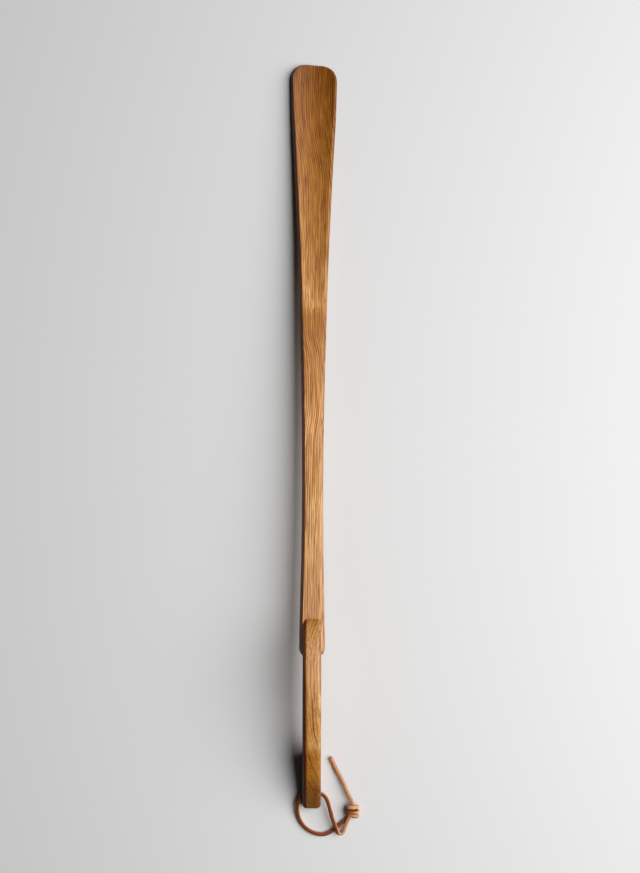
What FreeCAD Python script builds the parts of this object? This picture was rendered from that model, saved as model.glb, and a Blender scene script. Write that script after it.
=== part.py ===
"""Long oak shoehorn with a leather lace, as a parametric FreeCAD document.

It lies on its back with the scoop up. X runs across it, +Y points to the blade's tip and
+Z is up. The origin is on the surface it rests on, under the middle of the wood.
The wooden pieces are drawn on the bench, with the shaft's flat underside on z = 0, and are
then tilted together, so that the blade's tip and the grip's foot rest on the surface.
"""
import FreeCAD, Part
import math
import os
import Sketcher
from FreeCAD import Placement, Rotation, Vector

# ---------------------------------------------------------------- driving sizes, mm and degrees
SIZES = {
    "half_length": 375.4,          # from the blade's tip to the middle
    "tilt": 2.3,                   # how much the shaft rises towards the grip
    "tip_skew": -4.6,              # the tip is cut a little out of square
    "tip_left_radius": 15.0,
    "tip_right_radius": 16.5,
    "shaft_end_radius": 9.2,       # corners of the shaft's end, seen from above
    "flank_width": 3.1,            # the board's sides lean in by this much, seen from above
    "flank_drop": 5.0,             # and over this much of its height
    "crest_round": 0.7,            # rounding where the flanks meet the upper face
    "under_round": 2.2,            # rounding along its lower edges
    "tip_contact": 1.7,            # the rounded tip rests on a line this far in from its end
    "board_height": 11.4,          # shaft thickness
    "scoop_radius": 58.0,          # across the scoop
    "scoop_offset": 0.9,           # the scoop is cut slightly to the right
    "scoop_floor": 3.0,            # wood left under the scoop at the tip
    "scoop_slope": 1.73,           # its floor rises towards the shaft
    "scoop_reach": 246.0,          # straight floor, from the tip
    "scoop_end_radius": 10.0,      # how its floor runs out, in side view
    "belly_radius": 62.0,          # rounded underside of the blade
    "belly_slope": 0.34,
    "belly_reach": 300.0,
    "tip_edge_round": 0.5,
    "grip_thickness": 18.5,
    "grip_round": 4.3,             # rounding along the grip's edges
    "nose_y": -177.0,              # the nose's curve runs on to here before the seat is cut
    "nose_rise": 8.2,
    "shoulder_y": -220.1,          # the shaft's end, and the step behind it
    "apex_y": -226.0,              # highest point of the grip
    "apex_rise": 24.5,
    "facet_y": -304.0,             # a narrow flat before the ridge
    "facet_rise": 12.0,
    "ridge_y": -311.0,             # where the back turns down
    "ridge_rise": 11.0,
    "back_radius": 220.0,
    "facet_round": 12.0,
    "tail_y": -374.6,              # upper corner of the grip's end
    "tail_rise": -18.5,
    "tail_round": 5.5,
    "foot_back_y": -374.6,
    "foot_front_y": -319.8,
    "foot_round": 5.0,
    "throat_y": -281.0,            # start of the hollow under the grip
    "throat_rise": -2.0,
    "lace_hole_y": -361.0,
    "lace_hole_rise": -20.6,
    "lace_hole": 6.0,
    "lace_hole_lip": 0.8,
    "dowel": 6.0,
    "dowel_hole": 6.1,
    "dowel_length": 13.0,
    "dowel_end_gap": 0.3,
    "dowel_chamfer": 0.6,
    "dowel_front_y": -201.5,
    "dowel_rear_y": -212.0,
    "lace": 4.0,
    "knot_width": 14.0,
    "knot_length": 13.2,
    "knot_height": 9.6,
    "knot_round": 3.6,
    "knot_end_round": 1.6,
}

DOWELS = {"dowel_front": "dowel_front_y", "dowel_rear": "dowel_rear_y"}
SEAT_MARGIN = 10.0                 # how far the seat's cut runs past the grip
PAST_TIP = 12.0                    # how far the belly's and the scoop's cuts run past the tip
BELLY_DEPTH = 30.0                 # how far the belly's cut reaches below the blade

# distance from the tip, width and thickness of the board where they change
STATIONS = (
    (0.0, 47.6, 7.9),
    (30.0, 47.2, 8.3),
    (75.0, 42.3, 8.95),
    (120.0, 37.5, 9.6),
    (185.0, 31.5, 10.5),
    (265.0, 26.5, 11.3),
    (345.0, 22.7, 11.4),
    (420.0, 21.3, 11.4),
    (500.0, 22.4, 11.4),
    (560.0, 25.1, 11.4),
    (595.5, 25.3, 11.4),
)

# the lace's route: from the knot round the loop, through the grip and back to the knot
LACE_LOOP_ROUTE = (
    (37.6, -382.4, 2.6),
    (32.8, -387.7, 2.4),
    (26.7, -393.8, 2.2),
    (19.0, -399.9, 2.1),
    (9.4, -403.1, 2.1),
    (-0.9, -401.3, 2.1),
    (-9.4, -394.8, 2.1),
    (-14.1, -385.3, 2.4),
    (-15.6, -375.0, 4.4),
    (-13.7, -365.8, 7.2),
    (-9.7, -362.1, 9.0),
    (-3.6, -361.4, 9.4),
    (3.8, -361.2, 9.0),
    (11.3, -360.7, 9.4),
    (15.2, -364.1, 9.2),
    (17.2, -372.1, 8.6),
    (19.8, -381.3, 7.9),
    (22.9, -390.1, 7.0),
    (25.4, -396.5, 6.5),
    (27.7, -402.6, 4.0),
    (32.8, -401.8, 3.1),
    (34.1, -394.0, 4.2),
    (36.9, -387.1, 5.8),
    (39.4, -381.2, 6.9),
)
LACE_TAIL_ROUTE = (
    (41.9, -378.0, 5.0),
    (40.4, -369.6, 5.2),
    (36.4, -361.4, 4.6),
    (32.8, -353.6, 3.7),
    (28.8, -345.4, 2.8),
    (24.3, -336.2, 2.2),
    (19.2, -325.4, 2.1),
)
KNOT_PLACE = Vector(41.4, -378.6, 0.0)
KNOT_TURN = -15.0


# ---------------------------------------------------------------- document helpers
def make_sheet(doc):
    """Write every driving size to the sheet, each under its own alias."""
    cells = dict(SIZES)
    for number, (from_tip, width, height) in enumerate(STATIONS, start=1):
        cells[f"station_{number}"] = from_tip
        cells[f"width_{number}"] = width
        cells[f"height_{number}"] = height
    sheet = doc.addObject("Spreadsheet::Sheet", "sizes")
    for row, (alias, value) in enumerate(cells.items(), start=1):
        sheet.set(f"A{row}", alias.replace("_", " "))
        sheet.set(f"B{row}", str(value))
        sheet.setAlias(f"B{row}", alias)
    doc.recompute()
    return sheet


def make_body(doc, label):
    body = doc.addObject("PartDesign::Body", label)
    body.Label = label
    return body


def new_sketch(body, name, role):
    """Start a sketch on one of the body's own origin planes."""
    sketch = body.newObject("Sketcher::SketchObject", name)
    plane = next(item for item in body.Origin.OriginFeatures if item.Role == role)
    sketch.AttachmentSupport = (plane, [""])
    sketch.MapMode = "FlatFace"
    return sketch


def bind(sketch, name, constraint, expression):
    """Add a named constraint and tie it to the sheet."""
    index = sketch.addConstraint(constraint)
    sketch.renameConstraint(index, name)
    sketch.setExpression(f"Constraints.{name}", expression)


def draw_outline(sketch, corners, edges):
    """Draw a closed outline whose corners are sheet expressions.

    corners: (x, y, x expression, y expression). edges: None for a straight edge to the next
    corner, or (radius, side, radius expression) for an arc that bulges to that side, with
    +1 to the left of the way from this corner to the next.
    """
    count = len(corners)
    points = [Vector(corner[0], corner[1], 0) for corner in corners]
    starts = []
    for number in range(count):
        here = points[number]
        there = points[(number + 1) % count]
        edge = edges[number]
        if edge is None:
            index = sketch.addGeometry(Part.LineSegment(here, there))
            starts.append((index, 1, 2))
            continue
        radius, side, expression = edge
        middle = (here + there) / 2
        chord = there - here
        left = Vector(-chord.y, chord.x, 0).normalize()
        rise = math.sqrt(radius ** 2 - (chord.Length / 2) ** 2)
        centre = middle - left * (side * rise)
        top = centre + left * (side * radius)
        index = sketch.addGeometry(Part.Arc(here, top, there))
        # a sketch arc always runs anticlockwise, so one that bulges left starts at its far end
        starts.append((index, 2, 1) if side > 0 else (index, 1, 2))
        bind(sketch, f"radius_{number}", Sketcher.Constraint("Radius", index, radius), expression)
    for number in range(count):
        index, _, end = starts[number]
        next_index, next_start, _ = starts[(number + 1) % count]
        sketch.addConstraint(Sketcher.Constraint("Coincident", index, end, next_index, next_start))
    for number, (x, y, x_expression, y_expression) in enumerate(corners):
        index, start, _ = starts[number]
        bind(sketch, f"x_{number}", Sketcher.Constraint("DistanceX", -1, 1, index, start, x),
             x_expression)
        bind(sketch, f"y_{number}", Sketcher.Constraint("DistanceY", -1, 1, index, start, y),
             y_expression)


def corner(x_name, y_name):
    """Give a corner whose place is two of the sheet's cells."""
    return SIZES[x_name], SIZES[y_name], f"sizes.{x_name}", f"sizes.{y_name}"


def edge_names(shape, wanted):
    return [f"Edge{number}" for number, edge in enumerate(shape.Edges, start=1) if wanted(edge)]


def face_edges(shape, axis):
    """Name the edges round every face that looks along the axis."""
    chosen = []
    for face in shape.Faces:
        u0, u1, v0, v1 = face.ParameterRange
        if face.normalAt((u0 + u1) / 2, (v0 + v1) / 2).dot(axis) > 0.95:
            chosen.extend(face.Edges)
    return edge_names(shape, lambda edge: any(edge.isSame(other) for other in chosen))


def add_fillet(body, name, edges, radius):
    base = body.Tip
    fillet = body.newObject("PartDesign::Fillet", name)
    fillet.Base = (base, edges)
    fillet.setExpression("Radius", radius)
    body.Document.recompute()
    return fillet


def add_groove(body, name, sketch):
    groove = body.newObject("PartDesign::Groove", name)
    groove.Profile = sketch
    groove.ReferenceAxis = (sketch, ["H_Axis"])
    groove.Angle = 360
    body.Document.recompute()
    return groove


def add_pad(body, name, sketch, length):
    """Pad a sketch to both sides of its plane."""
    pad = body.newObject("PartDesign::Pad", name)
    pad.Profile = sketch
    pad.SideType = "Symmetric"
    pad.setExpression("Length", length)
    body.Document.recompute()
    return pad


def rectangle_sketch(body, name, role, width_name, height_name):
    """Draw a rectangle that stands on the sketch's X axis, with its middle on the Y axis."""
    sheet = body.Document.getObject("sizes")
    width = sheet.get(width_name)
    height = sheet.get(height_name)
    sketch = new_sketch(body, name, role)
    ends = [Vector(-width / 2, 0, 0), Vector(width / 2, 0, 0), Vector(width / 2, height, 0),
            Vector(-width / 2, height, 0)]
    for side in range(4):
        sketch.addGeometry(Part.LineSegment(ends[side], ends[(side + 1) % 4]))
    for side in range(4):
        sketch.addConstraint(Sketcher.Constraint("Coincident", side, 2, (side + 1) % 4, 1))
    sketch.addConstraint(Sketcher.Constraint("Horizontal", 2))
    sketch.addConstraint(Sketcher.Constraint("Vertical", 1))
    sketch.addConstraint(Sketcher.Constraint("Vertical", 3))
    sketch.addConstraint(Sketcher.Constraint("Symmetric", 0, 1, 0, 2, -1, 1))
    bind(sketch, "width", Sketcher.Constraint("DistanceX", 0, 1, 0, 2, width),
         f"sizes.{width_name}")
    bind(sketch, "height", Sketcher.Constraint("DistanceY", 1, 1, 1, 2, height),
         f"sizes.{height_name}")
    return sketch


# ---------------------------------------------------------------- blade and shaft
def board_section(body, number):
    """Draw the board's cross-section at one station, standing on z = 0."""
    sketch = rectangle_sketch(body, f"section_{number}", "XZ_Plane", f"width_{number}",
                              f"height_{number}")
    if number == 1:
        sketch.AttachmentOffset = Placement(Vector(), Rotation(Vector(0, 1, 0), 1))
        sketch.setExpression("AttachmentOffset.Rotation.Angle", "sizes.tip_skew")
    sketch.setExpression("AttachmentOffset.Base.z", f"sizes.station_{number} - sizes.half_length")
    return sketch


def tilted_sketch(body, name, slope, radius, floor):
    """Start a sketch whose own X axis is the axis of a long hollow above the blade."""
    sketch = new_sketch(body, name, "YZ_Plane")
    sketch.AttachmentOffset = Placement(Vector(), Rotation(Vector(0, 0, 1), 1))
    sketch.setExpression("AttachmentOffset.Rotation.Angle", slope)
    sketch.setExpression("AttachmentOffset.Base.x",
                         f"sizes.half_length - {radius} * sin({slope})")
    sketch.setExpression("AttachmentOffset.Base.y", f"{floor} + {radius} * cos({slope})")
    return sketch


def soften_tip(body):
    """Round the edge that the scoop leaves round the blade's tip."""
    shape = body.Shape
    near_tip = SIZES["half_length"] - SIZES["tip_right_radius"]

    def wanted(edge):
        surfaces = [face.Surface for face in shape.ancestorsOfType(edge, Part.Face)]
        radii = [round(surface.Radius, 6) for surface in surfaces if isinstance(surface, Part.Cylinder)]
        return edge.CenterOfMass.y > near_tip and SIZES["scoop_radius"] in radii

    add_fillet(body, "scoop_edge", edge_names(shape, wanted), "sizes.tip_edge_round")


def add_flanks(body):
    """Slope the board's sides in towards its upper face, all the way round."""
    base = body.Tip
    flanks = body.newObject("PartDesign::Chamfer", "flanks")
    flanks.Base = (base, face_edges(base.Shape, Vector(0, 0, 1)))
    flanks.ChamferType = "Two distances"
    flanks.setExpression("Size", "sizes.flank_drop")
    flanks.setExpression("Size2", "sizes.flank_width")
    body.Document.recompute()


def make_blade_and_shaft(doc):
    body = make_body(doc, "blade_and_shaft")
    sections = [board_section(body, number) for number in range(1, len(STATIONS) + 1)]
    doc.recompute()
    board = body.newObject("PartDesign::AdditiveLoft", "board")
    board.Profile = sections[0]
    board.Sections = sections[1:]
    doc.recompute()

    def upright(edge, front, right):
        low, high = (vertex.Point for vertex in edge.Vertexes)
        vertical = abs(low.x - high.x) + abs(low.y - high.y) < 0.01
        return vertical and (low.y > 0) == front and (low.x > 0) == right

    corners = (("tip_left", True, False, "sizes.tip_left_radius"),
               ("tip_right", True, True, "sizes.tip_right_radius"),
               ("end_left", False, False, "sizes.shaft_end_radius"),
               ("end_right", False, True, "sizes.shaft_end_radius"))
    for name, front, right, radius in corners:
        chosen = edge_names(body.Shape, lambda edge: upright(edge, front, right))
        add_fillet(body, name, chosen, radius)
    add_flanks(body)
    add_fillet(body, "crests", face_edges(body.Shape, Vector(0, 0, 1)), "sizes.crest_round")
    add_fillet(body, "lower_edges", face_edges(body.Shape, Vector(0, 0, -1)),
               "sizes.under_round")

    belly = tilted_sketch(body, "belly_profile", "sizes.belly_slope", "sizes.belly_radius", "0")
    radius = SIZES["belly_radius"]
    reach = SIZES["belly_reach"]
    far = "-sizes.belly_reach"
    near = str(PAST_TIP)
    deep = f"-sizes.belly_radius - {BELLY_DEPTH}"
    draw_outline(belly, (
        (-reach, -radius, far, "-sizes.belly_radius"),
        (-reach, -radius - BELLY_DEPTH, far, deep),
        (PAST_TIP, -radius - BELLY_DEPTH, near, deep),
        (PAST_TIP, -radius, near, "-sizes.belly_radius"),
    ), (None, None, None, None))
    add_groove(body, "belly", belly)

    scoop = tilted_sketch(body, "scoop_profile", "-sizes.scoop_slope", "sizes.scoop_radius",
                          "sizes.scoop_floor")
    scoop.setExpression("AttachmentOffset.Base.z", "sizes.scoop_offset")
    radius = SIZES["scoop_radius"]
    reach = SIZES["scoop_reach"]
    bend = SIZES["scoop_end_radius"]
    draw_outline(scoop, (
        (PAST_TIP, 0, near, "0"),
        (-reach - bend, 0, "-sizes.scoop_reach - sizes.scoop_end_radius", "0"),
        (-reach - bend, bend - radius, "-sizes.scoop_reach - sizes.scoop_end_radius",
         "sizes.scoop_end_radius - sizes.scoop_radius"),
        (-reach, -radius, "-sizes.scoop_reach", "-sizes.scoop_radius"),
        (PAST_TIP, -radius, near, "-sizes.scoop_radius"),
    ), (None, None, (bend, -1, "sizes.scoop_end_radius"), None, None))
    add_groove(body, "scoop", scoop)
    soften_tip(body)
    drill_dowel_holes(body, False)
    return body


# ---------------------------------------------------------------- grip
def circle_sketch(body, name, role, diameter, places):
    """Draw circles of one diameter: each place is (x, y, x expression, y expression)."""
    sketch = new_sketch(body, name, role)
    for number, (x, y, x_expression, y_expression) in enumerate(places):
        radius = SIZES[diameter] / 2
        index = sketch.addGeometry(Part.Circle(Vector(x, y, 0), Vector(0, 0, 1), radius))
        bind(sketch, f"diameter_{number}",
             Sketcher.Constraint("Diameter", index, 2 * radius), f"sizes.{diameter}")
        if x_expression is None:
            sketch.addConstraint(Sketcher.Constraint("PointOnObject", index, 3, -2))
        else:
            bind(sketch, f"x_{number}", Sketcher.Constraint("DistanceX", -1, 1, index, 3, x),
                 x_expression)
        bind(sketch, f"y_{number}", Sketcher.Constraint("DistanceY", -1, 1, index, 3, y),
             y_expression)
    return sketch


def drill_dowel_holes(body, upward):
    """Drill the two blind holes that the dowels sit in, from the lap's plane."""
    places = [(0, SIZES[name], None, f"sizes.{name}") for name in DOWELS.values()]
    sketch = circle_sketch(body, "dowel_holes_plan", "XY_Plane", "dowel_hole", places)
    open_side = "-" if upward else "+"
    sketch.setExpression("AttachmentOffset.Base.z",
                         f"sizes.board_height {open_side} sizes.dowel_end_gap")
    holes = body.newObject("PartDesign::Pocket", "dowel_holes")
    holes.Profile = sketch
    holes.Reversed = upward
    holes.setExpression("Length", "sizes.dowel_length / 2 + 2 * sizes.dowel_end_gap")
    body.Document.recompute()


def cross_edges(shape, y, z):
    """Name the edge that runs across the grip through one corner of its side view."""
    def wanted(edge):
        middle = edge.CenterOfMass
        return abs(middle.x) < 0.01 and math.hypot(middle.y - y, middle.z - z) < 0.01
    return edge_names(shape, wanted)


def rest_rise(name):
    """Give the bench height, at one of the foot's ends, of the surface it stands on."""
    run = SIZES[name] - SIZES["half_length"] + SIZES["tip_contact"]
    formula = f"(sizes.{name} - sizes.half_length + sizes.tip_contact) * tan(sizes.tilt)"
    return run * math.tan(math.radians(SIZES["tilt"])), formula


def arc_from_apex(y_name, rise_name):
    """Give the radius of an arc that leaves the apex level and ends at a named corner."""
    run = SIZES[y_name] - SIZES["apex_y"]
    drop = SIZES["apex_rise"] - SIZES[rise_name]
    formula = (f"((sizes.{y_name} - sizes.apex_y)^2 + (sizes.apex_rise - sizes.{rise_name})^2)"
               f" / (2 * (sizes.apex_rise - sizes.{rise_name}))")
    return (run ** 2 + drop ** 2) / (2 * drop), -1, formula


def throat_arc(front_rise, front_formula):
    """Give the arc that hollows the underside, level where it starts, down to the foot."""
    run = SIZES["throat_y"] - SIZES["foot_front_y"]
    drop = SIZES["throat_rise"] - front_rise
    drop_formula = f"(sizes.throat_rise - {front_formula})"
    formula = (f"((sizes.throat_y - sizes.foot_front_y)^2 + {drop_formula}^2)"
               f" / (2 * {drop_formula})")
    return (run ** 2 + drop ** 2) / (2 * drop), 1, formula


def make_grip(doc):
    body = make_body(doc, "grip")
    side = new_sketch(body, "side_profile", "YZ_Plane")
    back_rise, back_formula = rest_rise("foot_back_y")
    front_rise, front_formula = rest_rise("foot_front_y")
    under = (SIZES["nose_y"], SIZES["throat_rise"], "sizes.nose_y", "sizes.throat_rise")
    draw_outline(side, (
        corner("nose_y", "nose_rise"),
        corner("apex_y", "apex_rise"),
        corner("facet_y", "facet_rise"),
        corner("ridge_y", "ridge_rise"),
        corner("tail_y", "tail_rise"),
        (SIZES["foot_back_y"], back_rise, "sizes.foot_back_y", back_formula),
        (SIZES["foot_front_y"], front_rise, "sizes.foot_front_y", front_formula),
        corner("throat_y", "throat_rise"),
        under,
    ), (
        arc_from_apex("nose_y", "nose_rise"),
        arc_from_apex("facet_y", "facet_rise"),
        None,
        (SIZES["back_radius"], -1, "sizes.back_radius"),
        None,
        None,
        throat_arc(front_rise, front_formula),
        None,
        None,
    ))
    add_pad(body, "board", side, "sizes.grip_thickness")

    corners = (("facet_front", SIZES["facet_y"], SIZES["facet_rise"], "sizes.facet_round"),
               ("facet_back", SIZES["ridge_y"], SIZES["ridge_rise"], "sizes.facet_round"),
               ("tail_corner", SIZES["tail_y"], SIZES["tail_rise"], "sizes.tail_round"),
               ("back_corner", SIZES["foot_back_y"], back_rise, "sizes.foot_round"),
               ("front_corner", SIZES["foot_front_y"], front_rise, "sizes.foot_round"))
    for name, y, z, radius in corners:
        add_fillet(body, name, cross_edges(body.Shape, y, z), radius)
    half = SIZES["grip_thickness"] / 2

    def along_cheek(edge):
        middle = edge.CenterOfMass
        return abs(abs(middle.x) - half) < 0.01 and middle.y < SIZES["nose_y"] - 0.01

    add_fillet(body, "edges", edge_names(body.Shape, along_cheek), "sizes.grip_round")

    seat = new_sketch(body, "seat_profile", "YZ_Plane")
    front = SIZES["nose_y"] + SEAT_MARGIN
    low = SIZES["throat_rise"] - SEAT_MARGIN
    front_formula = f"sizes.nose_y + {SEAT_MARGIN}"
    low_formula = f"sizes.throat_rise - {SEAT_MARGIN}"
    shoulder = SIZES["shoulder_y"]
    top = SIZES["board_height"]
    draw_outline(seat, (
        (shoulder, top, "sizes.shoulder_y", "sizes.board_height"),
        (shoulder, low, "sizes.shoulder_y", low_formula),
        (front, low, front_formula, low_formula),
        (front, top, front_formula, "sizes.board_height"),
    ), (None, None, None, None))
    cut_through(body, "seat", seat)

    place = (SIZES["lace_hole_y"], SIZES["lace_hole_rise"], "sizes.lace_hole_y",
             "sizes.lace_hole_rise")
    hole = circle_sketch(body, "lace_hole_plan", "YZ_Plane", "lace_hole", [place])
    cut_through(body, "lace_hole", hole)
    rims = edge_names(body.Shape, lambda edge: is_rim(edge, SIZES["lace_hole"] / 2))
    add_fillet(body, "lace_hole_lips", rims, "sizes.lace_hole_lip")
    drill_dowel_holes(body, True)
    return body


def is_rim(edge, radius):
    return isinstance(edge.Curve, Part.Circle) and abs(edge.Curve.Radius - radius) < 0.001


def cut_through(body, name, sketch):
    """Cut a sketch right across the body, to both sides of its plane."""
    pocket = body.newObject("PartDesign::Pocket", name)
    pocket.Profile = sketch
    pocket.SideType = "Symmetric"
    pocket.Type = "ThroughAll"
    body.Document.recompute()


# ---------------------------------------------------------------- dowels
def make_dowel(doc, label, place):
    body = make_body(doc, label)
    sketch = circle_sketch(body, "section", "XY_Plane", "dowel",
                           [(0, SIZES[place], None, f"sizes.{place}")])
    sketch.setExpression("AttachmentOffset.Base.z", "sizes.board_height")
    peg = add_pad(body, "peg", sketch, "sizes.dowel_length")
    ends = edge_names(body.Shape, lambda edge: is_rim(edge, SIZES["dowel"] / 2))
    chamfer = body.newObject("PartDesign::Chamfer", "ends")
    chamfer.Base = (peg, ends)
    chamfer.setExpression("Size", "sizes.dowel_chamfer")
    return body


# ---------------------------------------------------------------- lace
def route_path(points, name):
    """Join a route's runs by tangent arcs, each as large as its two runs allow."""
    corners = [Vector(*point) for point in points]
    edges = []
    radii = []
    start = corners[0]
    for before, here, after in zip(corners, corners[1:], corners[2:]):
        arriving = (here - before).normalize()
        leaving = (after - here).normalize()
        half_turn = arriving.getAngle(leaving) / 2
        cut = 0.45 * min(before.distanceToPoint(here), here.distanceToPoint(after))
        radius = cut / math.tan(half_turn)
        radii.append(round(radius, 1))
        enter = here - arriving * cut
        leave = here + leaving * cut
        inward = (leaving - arriving).normalize()
        middle = here + inward * (radius / math.cos(half_turn) - radius)
        edges.append(Part.LineSegment(start, enter).toShape())
        edges.append(Part.Arc(enter, middle, leave).toShape())
        start = leave
    edges.append(Part.LineSegment(start, corners[-1]).toShape())
    wire = Part.Wire(edges)
    print(f"{name}: length {wire.Length:.1f} mm, arc radii {radii}")
    return wire


def make_strand(doc, name, points, knot):
    """Sweep the lace along a route and trim it where it enters the knot."""
    path = doc.addObject("Part::Feature", f"{name}_path")
    path.Shape = route_path(points, name)
    section = doc.addObject("Part::Circle", f"{name}_section")
    section.setExpression("Radius", "sizes.lace / 2")
    along = Vector(*points[1]) - Vector(*points[0])
    section.Placement = Placement(Vector(*points[0]), Rotation(Vector(0, 0, 1), along))
    tube = doc.addObject("Part::Sweep", f"{name}_tube")
    tube.Sections = [section]
    tube.Spine = (path, [f"Edge{number + 1}" for number in range(len(path.Shape.Edges))])
    tube.Solid = True
    tube.Frenet = False
    doc.recompute()
    expected = math.pi * (SIZES["lace"] / 2) ** 2 * path.Shape.Length
    print(f"{name}: volume {tube.Shape.Volume:.0f}, section x length {expected:.0f} mm3")
    trimmed = doc.addObject("Part::Cut", name)
    trimmed.Label = name
    trimmed.Base = tube
    trimmed.Tool = knot
    return trimmed


def make_knot(doc):
    """Make the knot's outer shape: a short bundle of turns that lies on the surface."""
    body = make_body(doc, "lace_knot")
    outline = rectangle_sketch(body, "outline", "XZ_Plane", "knot_width", "knot_height")
    add_pad(body, "bundle", outline, "sizes.knot_length")
    reach = SIZES["knot_length"] / 2

    def lengthwise(edge):
        return abs(edge.CenterOfMass.y) < 0.01

    def at_end(edge):
        return abs(abs(edge.CenterOfMass.y) - reach) < 0.01

    add_fillet(body, "sides", edge_names(body.Shape, lengthwise), "sizes.knot_round")
    add_fillet(body, "ends", edge_names(body.Shape, at_end), "sizes.knot_end_round")
    body.Placement = Placement(KNOT_PLACE, Rotation(Vector(0, 0, 1), KNOT_TURN))
    doc.recompute()
    return body


def make_lace(doc):
    knot = make_knot(doc)
    loop = make_strand(doc, "lace_loop", LACE_LOOP_ROUTE, knot)
    tail = make_strand(doc, "lace_tail", LACE_TAIL_ROUTE, knot)
    return [loop, knot, tail]


# ---------------------------------------------------------------- assembly and files
def lay_down(body):
    """Tip a wooden piece from the bench onto the surface, resting on tip and foot."""
    body.Placement = Placement(Vector(), Rotation(Vector(-1, 0, 0), 1))
    body.setExpression("Placement.Rotation.Angle", "sizes.tilt")
    body.setExpression("Placement.Base.z",
                       "(sizes.half_length - sizes.tip_contact) * sin(sizes.tilt)")


def check(doc, pieces):
    for item in doc.Objects:
        if "Invalid" in item.State or "Error" in item.State:
            raise RuntimeError(f"{item.Name} failed: {item.State}")
    for piece in pieces:
        shape = piece.Shape
        if shape.isNull() or not shape.isValid() or len(shape.Solids) != 1:
            raise RuntimeError(f"{piece.Label} is not one valid solid")


def main():
    doc = FreeCAD.newDocument("long_shoehorn")
    make_sheet(doc)
    wood = [make_blade_and_shaft(doc), make_grip(doc)]
    wood.extend(make_dowel(doc, label, place) for label, place in DOWELS.items())
    for body in wood:
        lay_down(body)
    pieces = wood + make_lace(doc)
    doc.recompute()
    check(doc, pieces)
    os.makedirs("parts", exist_ok=True)
    for piece in pieces:
        piece.Shape.exportStep(f"parts/{piece.Label}.step")
        print(piece.Label, round(piece.Shape.Volume), piece.Shape.optimalBoundingBox(False))


main()
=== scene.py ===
"""The looks of the long oak shoehorn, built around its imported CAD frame.

The wooden parts keep their CAD meshes and get oak materials. The lace is two strands of cut
leather that meet inside the grip's cross hole. The loop strand runs round the loop and winds
three times round the other one, which makes the knot. The tail strand crosses it, folds back,
passes through the knot and ends as the free tail.

The frame is in metres. Routes and places on the wood are in millimetres, in the frame's own axes.
"""

import math

import bpy
import numpy as np
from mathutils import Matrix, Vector


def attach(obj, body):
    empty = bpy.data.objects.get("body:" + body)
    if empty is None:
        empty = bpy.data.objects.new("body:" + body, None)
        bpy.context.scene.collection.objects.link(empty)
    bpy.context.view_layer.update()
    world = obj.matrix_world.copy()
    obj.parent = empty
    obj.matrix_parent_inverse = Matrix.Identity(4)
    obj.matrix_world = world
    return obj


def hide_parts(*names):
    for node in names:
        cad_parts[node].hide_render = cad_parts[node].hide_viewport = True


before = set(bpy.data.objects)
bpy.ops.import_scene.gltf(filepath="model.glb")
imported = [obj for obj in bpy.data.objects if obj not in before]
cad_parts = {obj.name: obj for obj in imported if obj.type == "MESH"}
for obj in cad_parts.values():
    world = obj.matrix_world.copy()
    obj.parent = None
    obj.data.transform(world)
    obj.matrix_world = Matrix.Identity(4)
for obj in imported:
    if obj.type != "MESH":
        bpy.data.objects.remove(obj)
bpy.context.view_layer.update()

MM = 0.001

# Camera: straight above, with the picture's long side along the shoehorn. VIEW_LENGTH is how much
# of Y the picture's long side covers at the lace's level.
CAMERA_HEIGHT = 1.5
CAMERA_SIDE = 7.2 * MM
CAMERA_ALONG = -0.2 * MM
CAMERA_ROLL = math.radians(0.19)
CAMERA_REACH = 10
VIEW_LENGTH = 0.8824
LACE_LEVEL = 5 * MM
SENSOR = 36.0

# Light: a large panel to the right of the shoehorn, tilted towards it.
WORLD_COLOUR = (1.0, 0.92, 0.84, 1)
WORLD_STRENGTH = 0.02
KEY_DISTANCE = 2.3
KEY_ELEVATION = math.radians(44)
KEY_WIDTH = 2.6
KEY_HEIGHT = 2.7
KEY_POWER = 79
KEY_SPREAD = math.radians(130)

FLOOR_HALF = 3.0
FLOOR_COLOUR = (0.55, 0.55, 0.55, 1)
FLOOR_ROUGHNESS = 0.6

# Oak: its curves along Y run from -WOOD_REACH to WOOD_REACH. The spans are how far across the drift
# of its grain and its drawn lines can go, centred on nought. All are in millimetres.
WOOD_REACH = 380
DRIFT_SPAN = 40
LINE_SPAN = 20

# The oak's slow variations, in repeats per millimetre across the grain, along it and in depth.
SWAY_RATES = (0.05, 0.016, 0.05)
WOBBLE_RATES = (0.11, 0.008, 0.08)
PATCH_RATES = (0.16, 0.035, 0.16)

# The red, green and blue factors of each kind of mark in the oak.
PATCH_TINT = (0.86, 0.82, 0.74)
PALE_TINT = (1.20, 1.26, 1.38)
LINE_TINT = (0.46, 0.33, 0.20)
FLECK_TINT = (1.30, 1.38, 1.50)
FINE_TINT = (0.66, 0.54, 0.38)
PORE_TINT = (0.56, 0.42, 0.28)
RING_TINT = (0.42, 0.30, 0.22)
# Painted shade: the tint of the dark strip along the left of the grip's back.
LEFT_BACK_SHADE_TINT = (0.62, 0.52, 0.34)
CHEEK_TINT = (0.56, 0.33, 0.26)

# Growth lines on the grip's back, the streak on its right cheek and the painted shade along the
# left of its back, as (x, y) places.
GRIP_RINGS = (
    ((0.8, -258), (1.2, -280), (2.2, -293), (4.6, -300), (6.7, -306)),
    ((-2.4, -315), (-0.6, -323), (1.8, -331), (4.8, -337), (7.7, -342)),
    ((-3.2, -344), (-0.8, -349), (1.8, -352), (7.7, -355)),
    ((-3.2, -363), (1.8, -366)),
)
CHEEK_STREAK = ((7.6, -192), (8.1, -215), (8.6, -240), (8.9, -256))
LEFT_BACK_PAINTED_SHADE = ((-7.5, -236), (-7.5, -290), (-7.5, -356))

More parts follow.
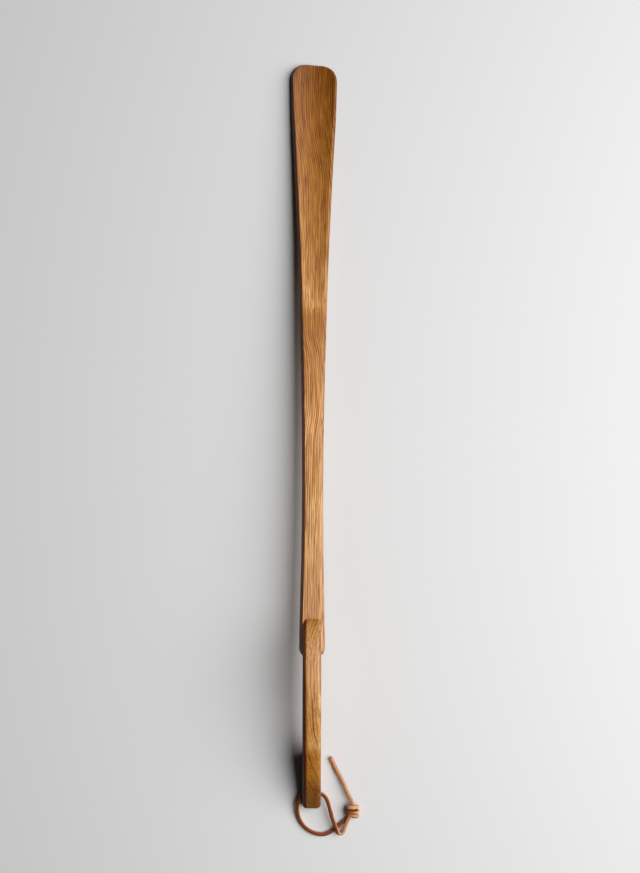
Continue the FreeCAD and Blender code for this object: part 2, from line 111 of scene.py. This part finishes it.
# Lace: a strip cut from leather, wider than it is thick, with the grain on one wide face. Its width
# and thickness wander by a share of themselves, with a new value every so many rings.
LACE_WIDTH = 3.9 * MM
LACE_THICKNESS = 3.0 * MM
LACE_SQUARENESS = 3.4
WIDTH_WANDER = 0.04
WIDTH_RINGS = 9
THICKNESS_WANDER = 0.05
THICKNESS_RINGS = 7
RING_POINTS = 24
ROUTE_STEPS = 14
LOOP_SEED = 3
TAIL_SEED = 5

# Each place on a route is x, y, z and the degrees that the grain face leans from straight up to
# the right of the way along. This one starts inside the cross hole, leaves by its left mouth and
# goes round the loop to the knot.
LOOP_ROUTE = (
    (0.0, -361.4, 9.1, 20),
    (-4.8, -361.2, 9.2, 20),
    (-9.3, -362.0, 8.8, 20),
    (-12.4, -366.2, 7.6, 18),
    (-14.2, -371.8, 5.6, 15),
    (-14.5, -377.9, 3.8, 15),
    (-13.6, -384.0, 2.6, 15),
    (-11.2, -390.2, 2.0, 15),
    (-6.9, -395.9, 2.0, 15),
    (-0.6, -400.5, 2.0, 12),
    (6.7, -403.0, 2.0, 10),
    (12.4, -403.2, 2.0, 10),
    (18.0, -401.4, 2.0, 5),
    (23.6, -397.6, 2.0, 0),
    (29.2, -392.7, 2.0, 0),
    (34.2, -388.0, 2.0, 0),
)

# From inside the cross hole, out of its right mouth, over the loop strand, round the fold,
# through the knot and along the tail.
TAIL_ROUTE = (
    (0.0, -361.4, 9.1, 25),
    (5.0, -361.0, 9.1, 25),
    (10.2, -360.4, 9.3, 20),
    (13.5, -362.8, 9.2, 15),
    (16.0, -367.5, 9.0, 10),
    (17.7, -373.2, 8.6, 8),
    (19.3, -379.5, 8.2, 8),
    (21.0, -385.8, 7.6, 8),
    (23.3, -392.1, 7.0, 12),
    (25.4, -397.9, 6.0, 30),
    (27.1, -402.0, 4.4, 70),
    (30.9, -401.9, 3.4, 120),
    (33.3, -396.8, 3.8, 155),
    (35.3, -391.0, 4.4, 160),
    (38.1, -385.3, 4.9, 160),
    (40.8, -378.6, 5.0, 160),
    (42.3, -372.3, 5.2, 160),
    (39.6, -367.0, 5.2, 155),
    (35.9, -360.3, 5.0, 155),
    (33.0, -352.9, 4.2, 155),
    (29.5, -345.7, 3.4, 152),
    (25.2, -338.1, 2.6, 150),
    (22.3, -332.0, 2.2, 150),
    (18.9, -325.0, 2.1, 150),
)

# Knot: the loop strand's turns round the tail strand, which runs along +Y there. They start at
# KNOT_START degrees round from +X, and each point is KNOT_STEP further. A turn point is how far
# along it is and the degrees that the grain face turns, from facing the knot's middle at 0 to
# facing +Y at 90.
KNOT_CENTRE = Vector((41.4, -378.6, 4.9))
KNOT_HALF_WIDTH = 5.7
KNOT_HALF_HEIGHT = 3.3
KNOT_START = 250
KNOT_STEP = 45
KNOT_TURNS = (
    (-5.6, 0),
    (-5.8, 0),
    (-5.6, 0),
    (-4.9, 30),
    (-4.0, 75),
    (-3.0, 110),
    (-2.2, 120),
    (-1.6, 70),
    (-1.2, 10),
    (-0.9, 0),
    (-0.5, 0),
    (-0.4, 50),
    (-0.2, 100),
    (0.1, 135),
    (0.5, 140),
    (1.2, 80),
    (2.2, 20),
    (3.2, 0),
    (4.0, 0),
    (4.4, 0),
    (4.5, 0),
    (4.5, 0),
    (4.2, 0),
    (3.8, 0),
    (3.2, 0),
)


def loose_part(route):
    """A route's points and, at each, the way that the grain face looks."""
    points = [Vector(row[:3]) for row in route]
    upright = Vector((0, 0, 1))
    grains = []
    for direction, (*_, degrees) in zip(tangents(points), route):
        right = direction.cross(upright).normalized()
        lean = math.radians(degrees)
        grains.append(upright * math.cos(lean) + right * math.sin(lean))
    return points, grains


def knot_part():
    """The points of the loop strand's turns and, at each, the way that the grain face looks."""
    points = []
    grains = []
    for step, (along, turned) in enumerate(KNOT_TURNS):
        angle = math.radians(KNOT_START + KNOT_STEP * step)
        out = Vector((math.cos(angle), 0, math.sin(angle)))
        lean = math.radians(turned)
        points.append(KNOT_CENTRE + Vector((KNOT_HALF_WIDTH * out.x, along, KNOT_HALF_HEIGHT * out.z)))
        grains.append(Vector((0, math.sin(lean), 0)) - out * math.cos(lean))
    return points, grains


def smooth_line(route):
    """Places along the NURBS spline that has the route's points. Millimetres become metres."""
    curve = bpy.data.curves.new("route", "CURVE")
    curve.dimensions = "3D"
    curve.resolution_u = ROUTE_STEPS
    spline = curve.splines.new("NURBS")
    spline.points.add(len(route) - 1)
    for control, place in zip(spline.points, route):
        control.co = (*(place * MM), 1.0)
    spline.order_u = 3
    spline.use_endpoint_u = True
    holder = bpy.data.objects.new("route", curve)
    mesh = bpy.data.meshes.new_from_object(holder)
    line = [vertex.co.copy() for vertex in mesh.vertices]
    bpy.data.meshes.remove(mesh)
    bpy.data.objects.remove(holder)
    bpy.data.curves.remove(curve)
    return line


def distances(line):
    """How far along the line each of its points is."""
    along = [0.0]
    for before, after in zip(line, line[1:]):
        along.append(along[-1] + (after - before).length)
    return along


def tangents(line):
    """The line's direction at each of its points."""
    found = []
    for index in range(len(line)):
        before = line[max(index - 1, 0)]
        after = line[min(index + 1, len(line) - 1)]
        found.append((after - before).normalized())
    return found


def ring_frames(line, grains):
    """(point, across, outward) at each point. Outward points out of the grain face.

    The grain directions may have any length.
    """
    frames = []
    for point, direction, grain in zip(line, tangents(line), grains):
        outward = (grain - direction * grain.dot(direction)).normalized()
        frames.append((point, direction.cross(outward), outward))
    return frames


def section(index):
    """(across, outward) of one point of the strip's rounded section. The grain face is half way round."""
    angle = 2 * math.pi * index / RING_POINTS
    power = 2 / LACE_SQUARENESS
    across = math.copysign(abs(math.sin(angle)) ** power, math.sin(angle))
    outward = -math.copysign(abs(math.cos(angle)) ** power, math.cos(angle))
    return across * LACE_WIDTH / 2, outward * LACE_THICKNESS / 2


def wander(rng, count, spacing):
    """A smooth random value from -1 to 1 at each of count rings, with a new one every spacing rings."""
    knots = rng.uniform(-1, 1, count // spacing + 3)
    return np.interp(np.arange(count) / spacing, np.arange(len(knots)), knots)


def strip_vertices(frames, seed):
    """The points of all the strip's rings."""
    rng = np.random.default_rng(seed)
    widths = 1 + WIDTH_WANDER * wander(rng, len(frames), WIDTH_RINGS)
    heights = 1 + THICKNESS_WANDER * wander(rng, len(frames), THICKNESS_RINGS)
    outline = [section(index) for index in range(RING_POINTS)]
    vertices = []
    for (point, side, outward), wide, high in zip(frames, widths, heights):
        for across, out in outline:
            vertices.append(point + side * across * wide + outward * out * high)
    return vertices


def strip_faces(along):
    """The strip's two ends and then its sides, and a UV place, round and along, for each corner."""
    last = (len(along) - 1) * RING_POINTS
    faces = [tuple(reversed(range(RING_POINTS))), tuple(range(last, last + RING_POINTS))]
    places = [(0.0, along[0])] * RING_POINTS + [(0.0, along[-1])] * RING_POINTS
    for ring, (start, end) in enumerate(zip(along, along[1:])):
        first = ring * RING_POINTS
        for index in range(RING_POINTS):
            following = (index + 1) % RING_POINTS
            faces.append((
                first + index,
                first + following,
                first + RING_POINTS + following,
                first + RING_POINTS + index,
            ))
            low = index / RING_POINTS
            high = (index + 1) / RING_POINTS
            places.extend(((low, start), (high, start), (high, end), (low, end)))
    return faces, places


def lace_strand(name, points, grains, seed):
    """A mesh strip of leather along the points, and the line that it follows."""
    line = smooth_line(points)
    frames = ring_frames(line, smooth_line(grains))
    faces, places = strip_faces(distances(line))
    mesh = bpy.data.meshes.new(name)
    mesh.from_pydata(strip_vertices(frames, seed), [], faces)
    mesh.update()
    for loop, place in zip(mesh.uv_layers.new(name="strip").data, places):
        loop.uv = place
    for face in mesh.polygons:
        face.use_smooth = len(face.vertices) == 4
    piece = bpy.data.objects.new(name, mesh)
    bpy.context.scene.collection.objects.link(piece)
    return piece, line


class Graph:
    """One material's node tree, built in short calls. Sockets and plain values mix freely."""

    def __init__(self, name):
        self.material = bpy.data.materials.new(name)
        self.material.use_nodes = True
        self.nodes = self.material.node_tree.nodes
        self.links = self.material.node_tree.links
        self.shader = self.nodes["Principled BSDF"]

    def put(self, socket, value):
        if isinstance(value, bpy.types.NodeSocket):
            self.links.new(value, socket)
        elif value is not None:
            socket.default_value = value

    def coordinates(self, output):
        return self.nodes.new("ShaderNodeTexCoord").outputs[output]

    def math(self, operation, first, second=None, third=None):
        node = self.nodes.new("ShaderNodeMath")
        node.operation = operation
        for socket, value in zip(node.inputs, (first, second, third)):
            self.put(socket, value)
        return node.outputs[0]

    def split(self, vector):
        node = self.nodes.new("ShaderNodeSeparateXYZ")
        self.put(node.inputs[0], vector)
        return node.outputs

    def scaled(self, values, factors):
        """A vector of three values, each times its own factor."""
        node = self.nodes.new("ShaderNodeCombineXYZ")
        for socket, value, factor in zip(node.inputs, values, factors):
            self.put(socket, self.math("MULTIPLY", value, factor))
        return node.outputs[0]

    def noise(self, vector, detail, roughness=0.5):
        node = self.nodes.new("ShaderNodeTexNoise")
        self.put(node.inputs["Vector"], vector)
        node.inputs["Scale"].default_value = 1.0
        node.inputs["Detail"].default_value = detail
        node.inputs["Roughness"].default_value = roughness
        return node.outputs["Fac"]

    def spread(self, value, low, high, to_low=0.0, to_high=1.0, smooth=False):
        """The value mapped from low..high to to_low..to_high, and held at the ends."""
        node = self.nodes.new("ShaderNodeMapRange")
        node.interpolation_type = "SMOOTHSTEP" if smooth else "LINEAR"
        for socket, number in zip(node.inputs, (value, low, high, to_low, to_high)):
            self.put(socket, number)
        return node.outputs[0]

    def curve(self, value, points):
        """The value looked up on a smooth curve through (value, result) points, both from 0 to 1."""
        node = self.nodes.new("ShaderNodeFloatCurve")
        self.put(node.inputs["Value"], value)
        line = node.mapping.curves[0]
        for index, point in enumerate(points):
            if index < len(line.points):
                line.points[index].location = point
            else:
                line.points.new(*point)
        node.mapping.update()
        return node.outputs[0]

    def ramp(self, value, stops):
        """The value looked up on a colour ramp of (position, sRGB colour) stops."""
        node = self.nodes.new("ShaderNodeValToRGB")
        self.put(node.inputs["Fac"], value)
        elements = node.color_ramp.elements
        for index, (position, colour) in enumerate(stops):
            element = elements[index] if index < 2 else elements.new(position)
            element.position = position
            element.color = linear(colour)
        return node.outputs["Color"]

    def tint(self, colour, amount, factors):
        """The colour, times the three factors where amount is 1."""
        node = self.nodes.new("ShaderNodeMix")
        node.data_type = "RGBA"
        node.blend_type = "MULTIPLY"
        self.put(node.inputs["Factor"], amount)
        plain, multiplier = [socket for socket in node.inputs if socket.type == "RGBA"]
        self.put(plain, colour)
        self.put(multiplier, (*factors, 1.0))
        return next(socket for socket in node.outputs if socket.type == "RGBA")

    def bump(self, height, depth, strength):
        node = self.nodes.new("ShaderNodeBump")
        node.inputs["Strength"].default_value = strength
        node.inputs["Distance"].default_value = depth
        self.put(node.inputs["Height"], height)
        self.put(self.shader.inputs["Normal"], node.outputs[0])

    def finish(self, colour, roughness, specular):
        self.put(self.shader.inputs["Base Color"], colour)
        self.put(self.shader.inputs["Roughness"], roughness)
        self.shader.inputs["Specular IOR Level"].default_value = specular
        return self.material


def linear(colour):
    """A linear RGBA colour from an sRGB one given as 0 to 255."""
    parts = [value / 255 for value in colour]
    return (*(part / 12.92 if part <= 0.04045 else ((part + 0.055) / 1.055) ** 2.4 for part in parts), 1.0)


def share_at(place):
    """Where a place along Y, in millimetres, falls from 0 to 1 over the wood's length."""
    return (place + WOOD_REACH) / (2 * WOOD_REACH)


def grain_place(graph, lean, slope, drift):
    """Where a point is in the wood, in millimetres: across the grain lines, along them and in depth."""
    position = graph.split(graph.coordinates("Object"))
    x_mm, y_mm, z_mm = (graph.math("MULTIPLY", metres, 1 / MM) for metres in position)
    share = graph.spread(y_mm, -WOOD_REACH, WOOD_REACH)
    depth = graph.math("MULTIPLY_ADD", y_mm, slope, z_mm)
    sway = graph.noise(graph.scaled((x_mm, y_mm, z_mm), SWAY_RATES), detail=2.0)
    shift = graph.curve(share, [(share_at(place), moved / DRIFT_SPAN + 0.5) for place, moved in drift])
    wandered = graph.math("MULTIPLY_ADD", shift, -DRIFT_SPAN, graph.math("MULTIPLY", sway, 3.0))
    across = graph.math("ADD", graph.math("MULTIPLY_ADD", depth, lean, x_mm), wandered)
    return x_mm, share, (across, y_mm, depth)


def grain_lines(graph, place, spacing, sharpness):
    """Dark growth lines, 0 to 1, at every spacing across, uneven in strength from line to line."""
    across = place[0]
    wobble = graph.noise(graph.scaled(place, WOBBLE_RATES), detail=2.0)
    phase = graph.math("MULTIPLY_ADD", wobble, 1.5, graph.math("DIVIDE", across, spacing))
    wave = graph.math("SINE", graph.math("MULTIPLY", phase, 2 * math.pi))
    line = graph.math("POWER", graph.math("MULTIPLY_ADD", wave, 0.5, 0.5), sharpness)
    uneven = graph.noise(graph.scaled(place, (0.55 / spacing, 0.010, 0.05)), detail=1.0)
    return graph.math("MULTIPLY", line, graph.spread(uneven, 0.35, 0.6, 0.2, 1.0))


def streaks(graph, place, fineness, stretch, low, high, moved=0.0):
    """Long thin streaks, 0 to 1.

    fineness is how many there are in a millimetre across the grain, and stretch how many times
    longer than wide they are. They start where the noise is low and are full where it is high.
    moved keeps one kind of streak from following another.
    """
    across, along, depth = place
    where = graph.scaled((graph.math("ADD", across, moved), along, depth),
                         (fineness, fineness / stretch, fineness))
    return graph.spread(graph.noise(where, detail=3.0, roughness=0.6), low, high)


def drawn_line(graph, x_mm, y_mm, places, width, fade=4.0):
    """One dark line, 0 to 1, across the places (x, y), which run along the object, y falling."""
    first = places[0][1]
    last = places[-1][1]
    share = graph.spread(y_mm, first, last)
    points = [((y - first) / (last - first), x / LINE_SPAN + 0.5) for x, y in places]
    line_x = graph.math("MULTIPLY", graph.math("SUBTRACT", graph.curve(share, points), 0.5), LINE_SPAN)
    off = graph.math("ABSOLUTE", graph.math("SUBTRACT", x_mm, line_x))
    near = graph.spread(off, width * 0.3, width, 1.0, 0.0, smooth=True)
    started = graph.spread(y_mm, first + fade / 2, first - fade / 2)
    ended = graph.spread(y_mm, last - fade / 2, last + fade / 2)
    return graph.math("MULTIPLY", near, graph.math("MULTIPLY", started, ended))


def paint_edge_shade(graph, colour, lean, left_shade, right_shade):
    """Painted shade on the rounded edges, where the upper surface leans over to the left or right by
    more than lean. The left edges, which turn from the light, are darkened, and the right edges,
    which face it, are tinted to suit the light on them.
    """
    across, _, up = graph.split(graph.coordinates("Normal"))
    sloping = graph.spread(up, 0.05, 0.25)
    for way, factors in ((-1, left_shade), (1, right_shade)):
        leaning = graph.spread(across, way * lean, way * (lean + 0.3))
        colour = graph.tint(colour, graph.math("MULTIPLY", leaning, sloping), factors)
    return colour


def oak(name, tone_and_painted_light, drift, lean, slope, spacing, sharpness, line_strength, texture, edge_shade, figure_and_shade=None):
    """Oiled oak with its grain along Y.

    tone_and_painted_light gives the wood's sRGB colour, with painted shade and highlights in it, drift
    how far its grain lines wander sideways and line_strength how strong they are, all at places along
    Y. lean turns the growth rings, and slope follows a tilted board. spacing is from line to line,
    and sharpness makes them thinner. texture is the strength of the fine streaks between them.
    edge_shade is what paint_edge_shade takes, painted shade on the rounded edges, and
    figure_and_shade adds the piece's own marks and painted shade.
    """
    graph = Graph(name)
    x_mm, share, place = grain_place(graph, lean, slope, drift)
    strength = graph.curve(share, [(share_at(y), value) for y, value in line_strength])
    lines = graph.math("MULTIPLY", grain_lines(graph, place, spacing, sharpness), strength)
    fine = streaks(graph, place, fineness=1.2, stretch=60, low=0.36, high=0.66)
    pores = streaks(graph, place, fineness=1.5, stretch=40, low=0.50, high=0.66)
    pale = streaks(graph, place, fineness=0.8, stretch=60, low=0.50, high=0.70, moved=40.0)
    flecks = streaks(graph, place, fineness=1.1, stretch=30, low=0.48, high=0.66, moved=80.0)
    patches = graph.noise(graph.scaled(place, PATCH_RATES), detail=2.0)
    # Painted light: these colours along Y hold painted shade and, on the grip, a painted highlight.
    colour = graph.ramp(share, [(share_at(y), shade) for y, shade in tone_and_painted_light])
    colour = graph.tint(colour, graph.spread(patches, 0.35, 0.65), PATCH_TINT)
    colour = graph.tint(colour, pale, PALE_TINT)
    colour = graph.tint(colour, lines, LINE_TINT)
    for streak, factors in ((flecks, FLECK_TINT), (fine, FINE_TINT), (pores, PORE_TINT)):
        colour = graph.tint(colour, graph.math("MULTIPLY", streak, texture), factors)
    # Painted shade on the rounded edges.
    colour = paint_edge_shade(graph, colour, *edge_shade)
    if figure_and_shade:
        colour = figure_and_shade(graph, colour, x_mm, place[1])
    hollows = graph.math("MULTIPLY_ADD", lines, 0.4, graph.math("MULTIPLY", pores, 0.8))
    graph.bump(graph.math("SUBTRACT", 1.0, hollows), depth=0.12 * MM, strength=0.5)
    return graph.finish(colour, graph.spread(pores, 0.0, 1.0, 0.42, 0.58), specular=0.25)


def blade_oak():
    """Straight-grained oak: dark at the scoop's tip and pale in the shaft.

    The darkening at the tip is partly the wood's own tone and partly painted shade.
    """
    # Painted shade: these colours darken towards the scoop's tip, partly as the wood's own tone and partly
    # as shade.
    tone_and_painted_light = (
        (-220, (196, 149, 102)),
        (-165, (204, 158, 112)),
        (-118, (210, 164, 115)),
        (-63, (209, 163, 110)),
        (-13, (217, 168, 114)),
        (37, (209, 158, 100)),
        (84, (188, 137, 79)),
        (118, (179, 124, 60)),
        (136, (201, 152, 93)),
        (189, (179, 127, 62)),
        (240, (173, 119, 52)),
        (290, (162, 107, 38)),
        (345, (142, 89, 23)),
        (375, (139, 84, 18)),
    )
    drift = ((-380, 13.2), (-38, 12.8), (0, 13.6), (30, 16.8), (68, 16.4), (106, 11.2),
             (152, 9.6), (251, 8.0), (327, -2.8), (357, -4.0), (380, 0.0))
    strength = ((-380, 1.0), (38, 1.0), (118, 1.0), (129, 0.9), (380, 0.9))
    # Painted shade on the rounded edges: the lean where it starts, then the tint of the left edges,
    # darkened as shade, and of the right edges, tinted for the light on them.
    edge_shade = (0.4, (0.54, 0.28, 0.08), (0.70, 0.72, 0.82))
    return oak("oak_blade", tone_and_painted_light, drift, lean=0.35, slope=0.0402, spacing=2.15, sharpness=2.4,
               line_strength=strength, texture=1.12, edge_shade=edge_shade)


def grip_figure_and_shade(graph, colour, x_mm, y_mm):
    """The grip's own marks and painted shade.

    Dark ring lines and a streak on one cheek, and painted shade along the left of its back.
    """
    rings = 0.0
    for places in GRIP_RINGS:
        rings = graph.math("MAXIMUM", rings, drawn_line(graph, x_mm, y_mm, places, 0.9))
    colour = graph.tint(colour, graph.math("MULTIPLY", rings, 0.85), RING_TINT)
    # Painted shade along the left of the grip's back.
    shade = drawn_line(graph, x_mm, y_mm, LEFT_BACK_PAINTED_SHADE, 5.0, fade=24.0)
    colour = graph.tint(colour, shade, LEFT_BACK_SHADE_TINT)
    streak = drawn_line(graph, x_mm, y_mm, CHEEK_STREAK, 1.7, fade=8.0)
    facing_up = graph.spread(graph.split(graph.coordinates("Normal"))["Z"], 0.05, 0.3, 0.0, 0.8)
    return graph.tint(colour, graph.math("MULTIPLY", streak, facing_up), CHEEK_TINT)


def grip_oak():
    """Wider-grained oak, which darkens along the slope to the grip's end.

    The darkening there and at the nose is partly the wood's own tone and partly painted shade, and a
    pale band where the back bends down is a painted highlight.
    """
    # Painted light: the dark stops at the nose and down the slope to the end are partly the wood's own
    # tone and partly painted shade, and the pale stop at -303 is a painted highlight where the back bends
    # down.
    tone_and_painted_light = (
        (-378, (113, 72, 26)),
        (-352, (126, 78, 25)),
        (-335, (169, 113, 37)),
        (-316, (161, 103, 35)),
        (-303, (193, 147, 83)),
        (-290, (183, 129, 65)),
        (-262, (197, 147, 91)),
        (-215, (200, 154, 107)),
        (-190, (190, 139, 81)),
        (-178, (159, 100, 33)),
    )
    drift = ((-380, 0.0), (380, 0.0))
    strength = ((-380, 0.7), (380, 0.7))
    # Painted shade on the rounded edges: the lean where it starts, then the tint of the left edges,
    # darkened as shade, and of the right edges, tinted for the light on them.
    edge_shade = (0.0, (0.36, 0.21, 0.06), (0.88, 0.94, 1.10))
    return oak("oak_grip", tone_and_painted_light, drift, lean=0.7, slope=0.0, spacing=3.1, sharpness=4.0,
               line_strength=strength, texture=0.75, edge_shade=edge_shade, figure_and_shade=grip_figure_and_shade)


def dowel_wood():
    """Pale plain hardwood with its fibres along Z."""
    graph = Graph("dowel_wood")
    position = graph.split(graph.coordinates("Object"))
    grain = graph.noise(graph.scaled(position, (2500, 2500, 180)), detail=3.0)
    colour = graph.ramp(grain, ((0.3, (196, 160, 116)), (0.7, (224, 192, 148))))
    graph.bump(grain, depth=0.1 * MM, strength=0.4)
    return graph.finish(colour, 0.6, specular=0.5)


def strip_noise(graph, around, along, round_rate, along_rate, detail, roughness=0.5):
    """Noise on a strip's surface that meets itself after one time round."""
    turn = graph.math("MULTIPLY", around, 2 * math.pi)
    circle = (graph.math("SINE", turn), graph.math("COSINE", turn))
    where = graph.scaled((*circle, along), (round_rate, round_rate, along_rate))
    return graph.noise(where, detail, roughness)


def leather():
    """Cut leather: a reddish-brown grain face half way round the strip, and pale cut faces."""
    graph = Graph("lace_leather")
    around, along, _ = graph.split(graph.coordinates("UV"))
    mottle = strip_noise(graph, around, along, round_rate=1.6, along_rate=260, detail=4.0, roughness=0.6)
    fibre = strip_noise(graph, around, along, round_rate=5.0, along_rate=420, detail=3.0)
    edge = graph.math("MULTIPLY_ADD", graph.math("SUBTRACT", mottle, 0.5), 0.14, around)
    colour = graph.ramp(edge, (
        (0.0, (194, 149, 108)),
        (0.12, (198, 154, 113)),
        (0.24, (184, 130, 88)),
        (0.36, (148, 80, 34)),
        (0.42, (117, 60, 22)),
        (0.58, (113, 57, 21)),
        (0.64, (144, 76, 33)),
        (0.76, (182, 128, 86)),
        (0.88, (198, 154, 113)),
        (1.0, (194, 149, 108)),
    ))
    fibre_tint = linear((198, 160, 126))[:3]
    colour = graph.tint(colour, graph.spread(fibre, 0.3, 0.7, 0.0, 0.7), fibre_tint)
    graph.bump(fibre, depth=0.2 * MM, strength=0.5)
    return graph.finish(colour, 0.6, specular=0.3)


def paint(piece, material):
    """Gives every material slot of a piece that material."""
    if not piece.material_slots:
        piece.data.materials.append(material)
    for slot in piece.material_slots:
        slot.material = material


def make_camera():
    """A camera straight above the shoehorn."""
    data = bpy.data.cameras.new("camera")
    data.sensor_width = SENSOR
    data.lens = SENSOR * (CAMERA_HEIGHT - LACE_LEVEL) / VIEW_LENGTH
    data.clip_end = CAMERA_REACH
    camera = bpy.data.objects.new("camera", data)
    camera.location = (CAMERA_SIDE, CAMERA_ALONG, CAMERA_HEIGHT)
    camera.rotation_euler = (0, 0, CAMERA_ROLL)
    bpy.context.scene.collection.objects.link(camera)
    bpy.context.scene.camera = camera


def make_floor():
    """A plain pale floor."""
    mesh = bpy.data.meshes.new("floor")
    corners = [(x * FLOOR_HALF, y * FLOOR_HALF, 0) for x, y in ((-1, -1), (1, -1), (1, 1), (-1, 1))]
    mesh.from_pydata(corners, [], [(0, 1, 2, 3)])
    floor = bpy.data.objects.new("floor", mesh)
    bpy.context.scene.collection.objects.link(floor)
    material = bpy.data.materials.new("floor_pale")
    material.use_nodes = True
    shader = material.node_tree.nodes["Principled BSDF"]
    shader.inputs["Base Color"].default_value = FLOOR_COLOUR
    shader.inputs["Roughness"].default_value = FLOOR_ROUGHNESS
    mesh.materials.append(material)


def make_lights():
    """One large soft panel on the right, high up, and next to no light from anywhere else."""
    world = bpy.data.worlds.new("studio")
    world.use_nodes = True
    background = world.node_tree.nodes["Background"]
    background.inputs["Color"].default_value = WORLD_COLOUR
    background.inputs["Strength"].default_value = WORLD_STRENGTH
    bpy.context.scene.world = world
    data = bpy.data.lights.new("key", "AREA")
    data.shape = "RECTANGLE"
    data.size = KEY_WIDTH
    data.size_y = KEY_HEIGHT
    data.energy = KEY_POWER
    data.spread = KEY_SPREAD
    light = bpy.data.objects.new("key", data)
    light.location = KEY_DISTANCE * Vector((math.cos(KEY_ELEVATION), 0, math.sin(KEY_ELEVATION)))
    light.rotation_euler = light.location.to_track_quat("Z", "Y").to_euler()
    bpy.context.scene.collection.objects.link(light)


def paint_wood():
    """Gives the wooden CAD nodes their materials."""
    paint(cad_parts["blade_and_shaft"], blade_oak())
    paint(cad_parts["grip"], grip_oak())
    dowel = dowel_wood()
    for name in ("dowel_front", "dowel_rear"):
        paint(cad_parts[name], dowel)


def make_lace():
    """The two strands, in place of the CAD's loop, knot and tail."""
    loose_points, loose_grains = loose_part(LOOP_ROUTE)
    knot_points, knot_grains = knot_part()
    loop, loop_line = lace_strand("lace_loop_strand", loose_points + knot_points,
                                  loose_grains + knot_grains, LOOP_SEED)
    tail, tail_line = lace_strand("lace_tail_strand", *loose_part(TAIL_ROUTE), TAIL_SEED)
    material = leather()
    for strand in (loop, tail):
        paint(strand, material)
        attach(strand, "root")
    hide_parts("lace_loop", "lace_knot")
    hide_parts("lace_tail")


bpy.context.scene.view_settings.view_transform = "Standard"
make_camera()
make_lace()
paint_wood()
make_floor()
make_lights()
